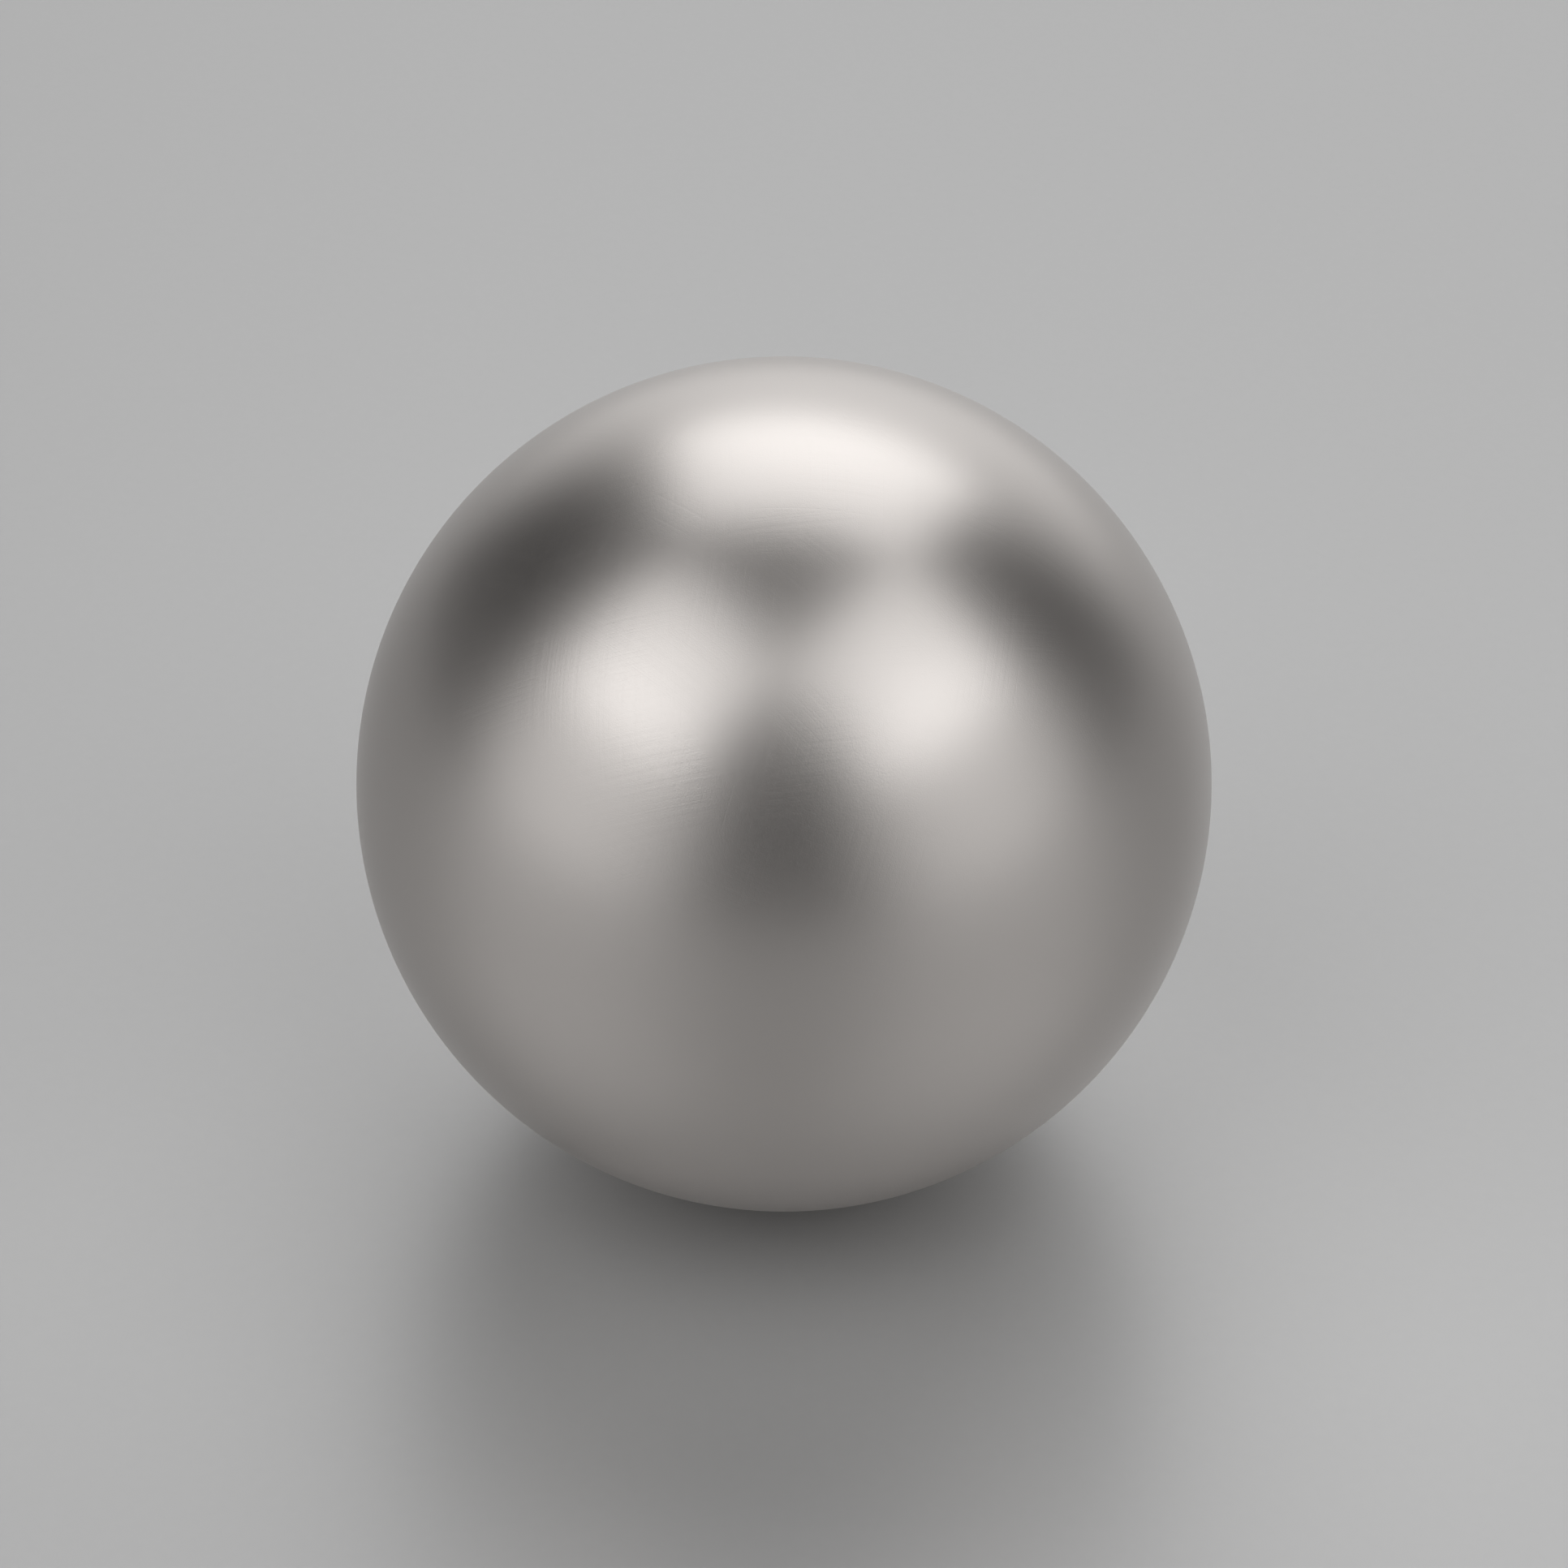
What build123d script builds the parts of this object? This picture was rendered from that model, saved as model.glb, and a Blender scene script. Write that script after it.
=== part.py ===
from build123d import *
import os

# A loose steel ball: one solid piece, ground and lapped to a true sphere.
# Millimetres. +Z is up, and the origin is the ball's centre.

# Driving dimension
ball_diameter = 25.4

# Steel ball
# The lapping leaves no flat, hole, seam or pole, so the whole surface is one
# sphere about the origin, and whatever seats the ball touches that sphere.
with BuildPart() as ball:
    Sphere(radius=ball_diameter / 2)
ball.part.label = "ball"

# One STEP file for the one piece
os.makedirs("parts", exist_ok=True)
export_step(ball.part, "parts/ball.step")
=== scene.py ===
# %% [markdown]
# # A satin steel ball
#
# The part is one loose ball of solid steel, 25.4 mm across, ground and lapped round and left with a
# satin finish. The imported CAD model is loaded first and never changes: it is the frame that says how
# large the ball is and where it sits. Everything here is in metres, +Z is up, and the origin is the
# ball's centre.
#
# A ball has no edges, holes or marks, so nothing can hide a poor surface. What makes it look real is
# how true the sphere is, how the steel scatters what it mirrors, and what there is around it to mirror.

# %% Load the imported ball
import math

import bpy
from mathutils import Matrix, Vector


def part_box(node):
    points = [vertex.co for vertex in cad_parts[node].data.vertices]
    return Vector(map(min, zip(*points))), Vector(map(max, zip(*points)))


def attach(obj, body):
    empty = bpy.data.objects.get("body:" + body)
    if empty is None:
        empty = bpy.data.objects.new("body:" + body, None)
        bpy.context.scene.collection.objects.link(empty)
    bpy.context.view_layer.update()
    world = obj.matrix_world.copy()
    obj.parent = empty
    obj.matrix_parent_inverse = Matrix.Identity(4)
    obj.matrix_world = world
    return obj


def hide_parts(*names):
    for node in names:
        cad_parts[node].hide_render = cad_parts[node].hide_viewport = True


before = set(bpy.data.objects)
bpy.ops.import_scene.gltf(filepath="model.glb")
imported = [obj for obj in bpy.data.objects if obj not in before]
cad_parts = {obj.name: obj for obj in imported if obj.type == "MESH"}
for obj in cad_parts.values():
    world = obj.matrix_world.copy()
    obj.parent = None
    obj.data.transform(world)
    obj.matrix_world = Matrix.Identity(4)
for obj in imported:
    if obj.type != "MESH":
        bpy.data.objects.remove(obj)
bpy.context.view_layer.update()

mm = 0.001
micrometre = 1e-6

# %% [markdown]
# ## The ball's own sizes
#
# The origin is the ball's centre, so each side of its box is one radius away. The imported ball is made
# of flat triangles, so across some directions its box is nearly a hundredth of a millimetre less than
# the true diameter. The nearest side sets the radius here, which keeps the finer ball inside the packed
# one's box. The floor goes under the lowest point.

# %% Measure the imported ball
low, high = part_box("ball")
ball_radius = min(abs(side) for side in (*low, *high))
floor_height = low.z
print(f"ball radius {ball_radius / mm:.4f} mm, floor at {floor_height / mm:.4f} mm")

# %% [markdown]
# ## Directions
#
# The camera and the lamps are all placed as they are seen from the ball, by a bearing and an elevation,
# as stars are. Bearing 0 is the camera's side, and 90 is to its right.

# %% Turn a bearing and an elevation into a direction
def toward(bearing, elevation):
    """The direction from the ball, of length 1, for two angles in degrees."""
    bearing = math.radians(bearing)
    elevation = math.radians(elevation)
    level = math.cos(elevation)
    return Vector((math.sin(bearing) * level, -math.cos(bearing) * level, math.sin(elevation)))


print("toward the camera's side:", [round(v, 3) for v in toward(0, 0)])

# %% [markdown]
# ## The camera
#
# The viewing angle can be read from what the ball mirrors: the surroundings come out upright only if
# the camera looks down by about 35 degrees. A long lens, as for a portrait, shows a small thing without
# swelling its middle.
#
# Seen from the distance d, a ball fills the angle whose sine is radius / d. The ball's outline takes
# 54.6 % of the picture's width, and that sets the distance. The near clip is 0.1 m unless it is
# changed, which would cut this ball open, because the camera is only 11 cm away.

# %% Place the camera
picture_side = 1932
outline_radius = 527
camera_elevation = 35
lens, sensor = 85, 36

half_angle = math.atan(outline_radius / (picture_side / 2) * (sensor / 2) / lens)
camera_distance = ball_radius / math.sin(half_angle)
toward_camera = toward(0, camera_elevation)

bpy.ops.object.camera_add(
    location=toward_camera * camera_distance,
    rotation=toward_camera.to_track_quat("Z", "Y").to_euler(),
)
camera = bpy.context.object
camera.name = "camera"
camera.data.lens = lens
camera.data.sensor_width = sensor
camera.data.clip_start = 1 * mm
camera.data.clip_end = 20
bpy.context.scene.camera = camera
ball_angle = math.degrees(2 * half_angle)
print(f"camera {camera_distance / mm:.1f} mm away, the ball fills {ball_angle:.1f} degrees")

# %% [markdown]
# ## The ball
#
# A ball could be a sphere primitive, but that has two poles where thin triangles meet, and polished
# steel shows them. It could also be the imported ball, but its flats are up to a hundredth of a
# millimetre deep, which a metal's sheen shows too.
#
# This one is made as a ball is lapped, in rounds. It starts as a cube whose corners lie on the sphere.
# Each round halves every edge and pushes the new points out to a sphere. After six rounds each side of
# the cube has 64 x 64 faces, all four-sided and nearly alike, with no pole anywhere. Going out in
# rounds, and not all at once, is what keeps the faces alike. Each push takes the points to their mean
# distance, which shrinks the ball a little, so a Cast modifier sets the exact radius at the end, as the
# last lapping does.

# %% Lap a cube into a ball
lapping_rounds = 6

bpy.ops.object.select_all(action="DESELECT")
bpy.ops.mesh.primitive_cube_add(size=2 * ball_radius / math.sqrt(3))
steel_ball = bpy.context.object
steel_ball.name = "steel_ball"

bpy.ops.object.mode_set(mode="EDIT")
bpy.ops.mesh.select_all(action="SELECT")
for lapping in range(lapping_rounds):
    bpy.ops.mesh.subdivide(number_cuts=1)
    bpy.ops.transform.tosphere(value=1)
bpy.ops.object.mode_set(mode="OBJECT")
print("lapped", lapping_rounds, "times:", len(steel_ball.data.polygons), "faces")

# %% Bring it to size
true_sphere = steel_ball.modifiers.new("true sphere", "CAST")
true_sphere.cast_type = "SPHERE"
true_sphere.factor = 1
true_sphere.use_radius_as_size = False
true_sphere.size = ball_radius
bpy.ops.object.modifier_apply(modifier=true_sphere.name)
bpy.ops.object.transform_apply(location=True, rotation=True, scale=True)
bpy.ops.object.shade_smooth()

radii = [v.co.length for v in steel_ball.data.vertices]
areas = [face.area for face in steel_ball.data.polygons]
print(f"the largest face is {max(areas) / min(areas):.2f} times the smallest")
print(f"out of round by {(max(radii) - min(radii)) / micrometre:.4f} micrometres")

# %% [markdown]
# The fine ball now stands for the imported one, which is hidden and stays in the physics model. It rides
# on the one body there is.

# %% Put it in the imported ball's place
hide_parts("ball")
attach(steel_ball, "root")
print(steel_ball.name, "replaces the packed ball")

# %% [markdown]
# ## Writing materials as sums
#
# A finish is a small calculation that runs at each point of the surface. Blender draws it as nodes
# joined by wires. Written out by hand that is long and hard to read, so this class wraps one wire.
# Python's own + - * on wires then adds the Math nodes, and node() adds any other kind: its settings go
# in first, then its values and wires.

# %% A wire that can be added and multiplied
class Wire:
    """One output of a node, which arithmetic turns into more nodes."""

    def __init__(self, tree, socket=None):
        self.tree = tree
        self.socket = socket

    def node(self, kind, settings=None, values=None, out=0):
        made = self.tree.nodes.new(kind)
        for name, setting in (settings or {}).items():
            setattr(made, name, setting)
        for name, value in (values or {}).items():
            if isinstance(value, Wire):
                self.tree.links.new(value.socket, made.inputs[name])
            else:
                made.inputs[name].default_value = value
        return Wire(self.tree, made.outputs[out])

    def math(self, operation, *values):
        return self.node("ShaderNodeMath", {"operation": operation}, dict(enumerate(values)))

    def __add__(self, other):
        return self.math("ADD", self, other)

    def __radd__(self, other):
        return self.math("ADD", other, self)

    def __sub__(self, other):
        return self.math("SUBTRACT", self, other)

    def __rsub__(self, other):
        return self.math("SUBTRACT", other, self)

    def __mul__(self, other):
        return self.math("MULTIPLY", self, other)

    def __rmul__(self, other):
        return self.math("MULTIPLY", other, self)

# %% [markdown]
# Four kinds of node come back again and again, so each gets a short name. Noise is given by the size of
# its features, in metres, because a grain of the wrong size is what most often makes a small thing look
# like a model of a big one.

# %% Name the nodes that are used most
def noise(place, size, detail):
    """Soft random values about 0.5, with features of about this size."""
    return place.node("ShaderNodeTexNoise", {}, {"Vector": place, "Scale": 1 / size, "Detail": detail})


def along(place, direction):
    """How far a place lies along a direction."""
    values = {0: place, 1: direction}
    return place.node("ShaderNodeVectorMath", {"operation": "DOT_PRODUCT"}, values, out="Value")


def fade(wire, start, end, first, last):
    """Goes smoothly from first to last while the wire goes from start to end."""
    values = {"Value": wire, "From Min": start, "From Max": end, "To Min": first, "To Max": last}
    return wire.node("ShaderNodeMapRange", {"interpolation_type": "SMOOTHSTEP"}, values)


def blend(share, first, second):
    """Goes from one colour to another while the share goes from 0 to 1."""
    values = {"Factor": share, "A": (*first, 1), "B": (*second, 1)}
    return share.node("ShaderNodeMix", {"data_type": "RGBA"}, values, out=2)

# %% Open a material and join wires to its shader
def new_finish(name):
    """A material, its Principled shader, and the wire that says where on the piece a point is."""
    finish = bpy.data.materials.new(name)
    finish.use_nodes = True
    tree = finish.node_tree
    return finish, tree.nodes["Principled BSDF"], Wire(tree).node("ShaderNodeTexCoord", out="Object")


def feed(shader, **wires):
    """Joins wires to the shader's sockets: Base_Color=tone joins tone to Base Color."""
    for name, wire in wires.items():
        wire.tree.links.new(wire.socket, shader.inputs[name.replace("_", " ")])

# %% [markdown]
# ## The satin steel
#
# Bare steel is a metal through and through, so Metallic is 1 and its colour is the tint of its
# reflections: a warm light grey. A satin finish scatters them. At a roughness of 0.34 a lamp becomes a
# soft patch with no edge, as it is in the photograph.
#
# No real ball scatters them quite evenly. Three faint layers break up the sheen:
#
# - clouds, some millimetres across, where the lap cut a little longer
# - a grain of a few hundredths of a millimetre, which is the satin itself
# - hairlines, from the last grit
#
# From the camera's distance they melt into one even sheen, and close up they show.

# %% Start with the clouds and the grain
cloud_size = 6 * mm
grain_size = 0.033 * mm

satin_steel, steel_shader, place = new_finish("satin_steel")
clouds = noise(place, cloud_size, detail=3)
grain = noise(place, grain_size, detail=2)
print("satin_steel has", len(satin_steel.node_tree.nodes), "nodes so far")

# %% [markdown]
# ## The hairlines
#
# In the lap a ball rolls about one axis, then turns and rolls about another. Each pass leaves hairlines
# that are arcs of circles about its axis, so on a finished ball they cross at every angle. How far a
# point lies along the axis is the same all round such a circle, so noise that is read from this one
# distance is the same all round too, and wherever it passes through 0.5 there is a thin ring.
#
# Three things make the rings into hairlines. They are drawn only where the noise is very near 0.5. They
# keep to the wide band about the ball's waist, where it touches the lap, because near the axis they
# would be small circles. And a second noise, in the fourth dimension so that it is new for each pass,
# leaves only arcs of a few millimetres. The axes are spread evenly by the golden angle, as seeds are in
# a sunflower.

# %% Draw the hairlines
lapping_passes = 7
golden_angle = 137.5
ring_spacing = 0.33 * mm
line_edge = 0.03
waist_edge, waist_end = 0.45 * ball_radius, 0.7 * ball_radius
stretch_size = 3 * mm
stretch_edge, stretch_full = 0.48, 0.58


def pass_marks(number):
    """The hairlines of one pass: 1 on a line and 0 beside it."""
    tilt = math.degrees(math.asin((number + 0.5) / lapping_passes))
    reach = along(place, toward(number * golden_angle, tilt))
    rings = reach.node(
        "ShaderNodeTexNoise",
        {"noise_dimensions": "1D"},
        {"W": reach + number * 2 * ball_radius, "Scale": 1 / ring_spacing, "Detail": 1},
    )
    stretches = place.node(
        "ShaderNodeTexNoise",
        {"noise_dimensions": "4D"},
        {"Vector": place, "W": number * ball_radius, "Scale": 1 / stretch_size, "Detail": 1},
    )
    line = fade(rings.math("ABSOLUTE", rings - 0.5), 0, line_edge, 1, 0)
    waist = fade(reach.math("ABSOLUTE", reach), waist_edge, waist_end, 1, 0)
    return line * waist * fade(stretches, stretch_edge, stretch_full, 0, 1)


passes = [pass_marks(number) for number in range(lapping_passes)]
hairlines = sum(passes[1:], passes[0])
print("satin_steel has", len(satin_steel.node_tree.nodes), "nodes with its hairlines")

# %% [markdown]
# The layers change three things at once, each by very little: the clouds tint the steel and blur it,
# and the grain and the hairlines blur it and give it relief. The Bump node's distance is set to 1 m, so
# its height is in metres as well, and the hairlines' depth can be given as it is on a real ball, under
# a thousandth of a millimetre.
#
# A hairline hardly blurs. Where the ball mirrors the dark, even a little more roughness on the lines
# lets in light from beside it, and they would stand out as a pale scribble.

# %% Join the layers to the shader
darker_steel = (0.667, 0.632, 0.608)
lighter_steel = (0.687, 0.652, 0.628)
mean_roughness = 0.34
cloud_blur, grain_blur, hairline_blur = 0.04, 0.1, 0.005
grain_height = 2 * micrometre
hairline_depth = 0.4 * micrometre

tone = blend(clouds, darker_steel, lighter_steel)
softness = (
    mean_roughness
    + (clouds - 0.5) * cloud_blur
    + (grain - 0.5) * grain_blur
    + hairlines * hairline_blur
)
relief = place.node(
    "ShaderNodeBump",
    {},
    {"Strength": 1, "Distance": 1, "Height": grain * grain_height - hairlines * hairline_depth},
)
steel_shader.inputs["Metallic"].default_value = 1
feed(steel_shader, Base_Color=tone, Roughness=softness, Normal=relief)
steel_ball.data.materials.clear()
steel_ball.data.materials.append(satin_steel)
print("satin_steel has", len(satin_steel.node_tree.nodes), "nodes in all")

# %% [markdown]
# ## The floor
#
# The ball stands on a plain pale board, lacquered with a soft pearl sheen. It is so wide that its edge
# looks like a level horizon even from a low camera. One flat disc is enough, because its tooth is only
# in its material.
#
# A metal ball mirrors the floor over its whole lower half, so the floor decides how the ball looks from
# below. How pale the board is sets how light that half is. Its sheen mirrors the walls beyond it, with
# their bright and dim places, and so carries them on below the ball's middle instead of ending them in
# one even grey.
#
# How much a lacquer mirrors is set by its index of refraction. It is about 1.5 for clear lacquer, which
# mirrors too little for this. Pearl lacquer holds flakes of mica coated with titanium dioxide, whose
# index is 2.5 or more. The shader has one index for the whole coat, so it is set a little below that.

# %% Lay the floor
floor_reach = 5

bpy.ops.object.select_all(action="DESELECT")
bpy.ops.mesh.primitive_circle_add(
    vertices=96,
    radius=floor_reach,
    fill_type="NGON",
    location=(0, 0, floor_height),
)
floor = bpy.context.object
floor.name = "floor"
bpy.ops.object.transform_apply(location=True, rotation=True, scale=True)
print(f"floor {2 * floor_reach} m across, {-floor_height / mm:.2f} mm below the ball's centre")

# %% Lacquer it
tooth_size = 0.4 * mm
darker_board = (0.45, 0.45, 0.45)
lighter_board = (0.47, 0.47, 0.47)
board_roughness = 0.4
pearl_index = 2.4

pearl_board, board_shader, floor_place = new_finish("pearl_board")
tooth = noise(floor_place, tooth_size, detail=3)
feed(board_shader, Base_Color=blend(tooth, darker_board, lighter_board))
board_shader.inputs["Roughness"].default_value = board_roughness
board_shader.inputs["IOR"].default_value = pearl_index
floor.data.materials.append(pearl_board)
print("pearl_board has", len(pearl_board.node_tree.nodes), "nodes")

# %% [markdown]
# ## The lamps
#
# The bright patches on the ball are three large softboxes, about a third of a turn apart and more than
# half way up the sky. Between them the studio is left dim, and those gaps are what gives a metal ball
# its contrast: a ball lit evenly from all round looks flat.
#
# Each lamp is given as it is seen from the ball: the bearing and elevation of its middle, and its half
# width and half height as shares of its distance. Its light is given as a brightness, where 1 is the
# brightness of white paper in full light, and Blender's watts are worked out from it. A lamp shines
# along its own -Z, so its +Z points away from the ball. The camera doesn't see the lamps, but the ball
# does.

# %% Hang the lamps
studio_radius = 3


def hang_lamp(name, bearing, elevation, half_width, half_height, brightness):
    """An area lamp that faces the ball from studio_radius away."""
    away = toward(bearing, elevation)
    width = 2 * half_width * studio_radius
    height = 2 * half_height * studio_radius
    bpy.ops.object.light_add(
        type="AREA",
        location=away * studio_radius,
        rotation=away.to_track_quat("Z", "Y").to_euler(),
    )
    lamp = bpy.context.object
    lamp.name = name
    lamp.data.shape = "RECTANGLE"
    lamp.data.size = width
    lamp.data.size_y = height
    lamp.data.energy = brightness * math.pi * width * height
    lamp.visible_camera = False
    print(f"{name}: {width:.2f} x {height:.2f} m, {lamp.data.energy:.1f} W")


hang_lamp("softbox_left", -57, 54, 0.415, 0.355, 1.18)
hang_lamp("softbox_right", 55, 54, 0.445, 0.37, 1.13)
hang_lamp("softbox_back", 171, 54, 0.49, 0.37, 1.28)

# %% [markdown]
# ## The walls
#
# The world stands for the studio's walls. Each softbox spills a soft round pool of light on the wall
# below it, which fades out with no edge. The rest of the wall is dim and darkens upwards, and from
# about 32 degrees up, whose sine is 0.53, it is nearly black.
#
# In a world, Generated is the direction that is looked along, with length 1. A pool needs one number
# from it: how far it reaches along the direction of the pool's middle. That is 1 at the middle, and
# elsewhere it is the cosine of the angle between the two.

# %% Light the walls
walls = bpy.data.worlds.new("studio_walls")
walls.use_nodes = True
sight = Wire(walls.node_tree).node("ShaderNodeTexCoord", out="Generated")


def pool(bearing, elevation, reach, brightness):
    """A pool of light, brightest at its middle and gone at its reach, which is in degrees."""
    return fade(along(sight, toward(bearing, elevation)), math.cos(math.radians(reach)), 1, 0, brightness)


up = Vector((0, 0, 1))
foot_brightness, top_brightness = 0.115, 0.007
dark_from = 0.53
dusk = fade(along(sight, up), 0, dark_from, foot_brightness, top_brightness)
glow = dusk + pool(-58, 19, 43, 0.69) + pool(56, 19, 42, 0.67) + pool(171, 9, 54, 0.785)

backdrop = walls.node_tree.nodes["Background"]
backdrop.inputs["Color"].default_value = (1, 1, 1, 1)
walls.node_tree.links.new(glow.socket, backdrop.inputs["Strength"])
bpy.context.scene.world = walls
bpy.context.scene.view_settings.view_transform = "Standard"
print("studio_walls has", len(walls.node_tree.nodes), "nodes")
